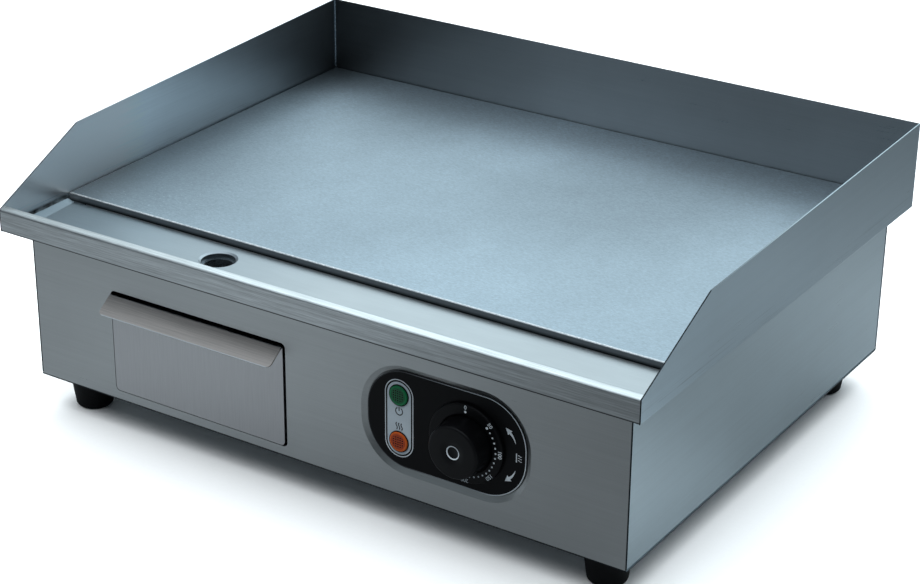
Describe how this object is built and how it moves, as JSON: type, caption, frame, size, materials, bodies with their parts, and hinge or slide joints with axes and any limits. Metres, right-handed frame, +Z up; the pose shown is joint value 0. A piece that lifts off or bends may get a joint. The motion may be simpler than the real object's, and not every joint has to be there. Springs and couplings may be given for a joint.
{
  "type": "electric griddle",
  "caption": "Counter-top electric griddle: flat steel plate between folded splash guards, grease gutter with drain, pull-out grease drawer, thermostat knob and pilot lamps.",
  "frame": {"origin": "middle of the footprint, at the underside of the feet", "axes": "+Z up, +X along the width to the operator's right, +Y from the front apron to the back guard"},
  "size_m": [0.55, 0.43, 0.2205],
  "materials": {
    "stainless_sheet": "brushed, number 4 grain",
    "stainless_bright": "bright",
    "plate_steel": "ground, matt",
    "black_moulding": "matt black",
    "foot_rubber": "matt black rubber",
    "fascia_print": "gloss black print",
    "green_lens": "clear green",
    "amber_lens": "clear amber",
    "dial_print": "matt black with white scale",
    "knob_moulding": "satin black phenolic",
    "element_sheath": "oxidised",
    "ceramic_bead": "glazed steatite",
    "mild_steel": "mill finish",
    "mineral_wool": "fibrous",
    "galvanised_sheet": "zinc spangle",
    "copper_bulb": "bright copper",
    "brass_parts": "bright",
    "brown_lead": "glass-braid sleeve",
    "blue_lead": "glass-braid sleeve",
    "green_lead": "green and yellow sleeve"
  },
  "bodies": {
    "housing": {"griddle_plate": "plate_steel", "front_gutter": "stainless_sheet", "drain_spout": "stainless_sheet", "left_splash_guard": "stainless_sheet", "right_splash_guard": "stainless_sheet", "back_splash_guard": "stainless_sheet", "plate_rail": "stainless_sheet", "left_side_panel": "stainless_sheet", "right_side_panel": "stainless_sheet", "front_panel": "stainless_sheet", "back_panel": "stainless_sheet", "base_plate": "stainless_sheet", "back_panel_screws": "stainless_bright", "base_screws": "stainless_bright", "foot_front_left": "foot_rubber", "foot_front_right": "foot_rubber", "foot_back_left": "foot_rubber", "foot_back_right": "foot_rubber", "foot_screws": "stainless_bright", "foot_nuts": "stainless_bright", "left_drawer_runner": "stainless_sheet", "right_drawer_runner": "stainless_sheet", "control_fascia": "fascia_print", "green_lamp_lens": "green_lens", "amber_lamp_lens": "amber_lens", "green_lamp_holder": "black_moulding", "amber_lamp_holder": "black_moulding", "dial_ring": "dial_print", "thermostat_body": "black_moulding", "thermostat_screws": "stainless_bright", "heating_element_1": "element_sheath", "heating_element_2": "element_sheath", "heating_element_3": "element_sheath", "heating_element_4": "element_sheath", "element_terminals": "ceramic_bead", "element_clamp_plate": "mild_steel", "insulation_blanket": "mineral_wool", "heat_shield": "galvanised_sheet", "plate_studs": "stainless_bright", "stud_nuts": "stainless_bright", "sensor_bulb": "copper_bulb", "bulb_saddles": "mild_steel", "sensor_capillary": "copper_bulb", "cable_gland": "black_moulding", "cable_gland_nut": "black_moulding", "bonding_stud": "brass_parts", "bonding_nuts": "brass_parts", "safety_cutout": "black_moulding", "terminal_block": "ceramic_bead", "live_leads": "brown_lead", "neutral_lead": "blue_lead", "earth_lead": "green_lead"},
    "grease_drawer": {"drawer_front": "stainless_sheet", "drawer_tray": "stainless_sheet"},
    "thermostat_control": {"thermostat_knob": "knob_moulding", "thermostat_spindle": "stainless_bright"}
  },
  "joints": [
    {"name": "drawer_slide", "type": "slide", "parent": "housing", "child": "grease_drawer", "axis": [0, -1, 0], "range_m": [0, 0.2]},
    {"name": "knob_turn", "type": "hinge", "parent": "housing", "child": "thermostat_control", "pos_m": [0.1324, -0.205, 0.08675], "axis": [0, 1, 0], "range_deg": [0, 270]}
  ]
}
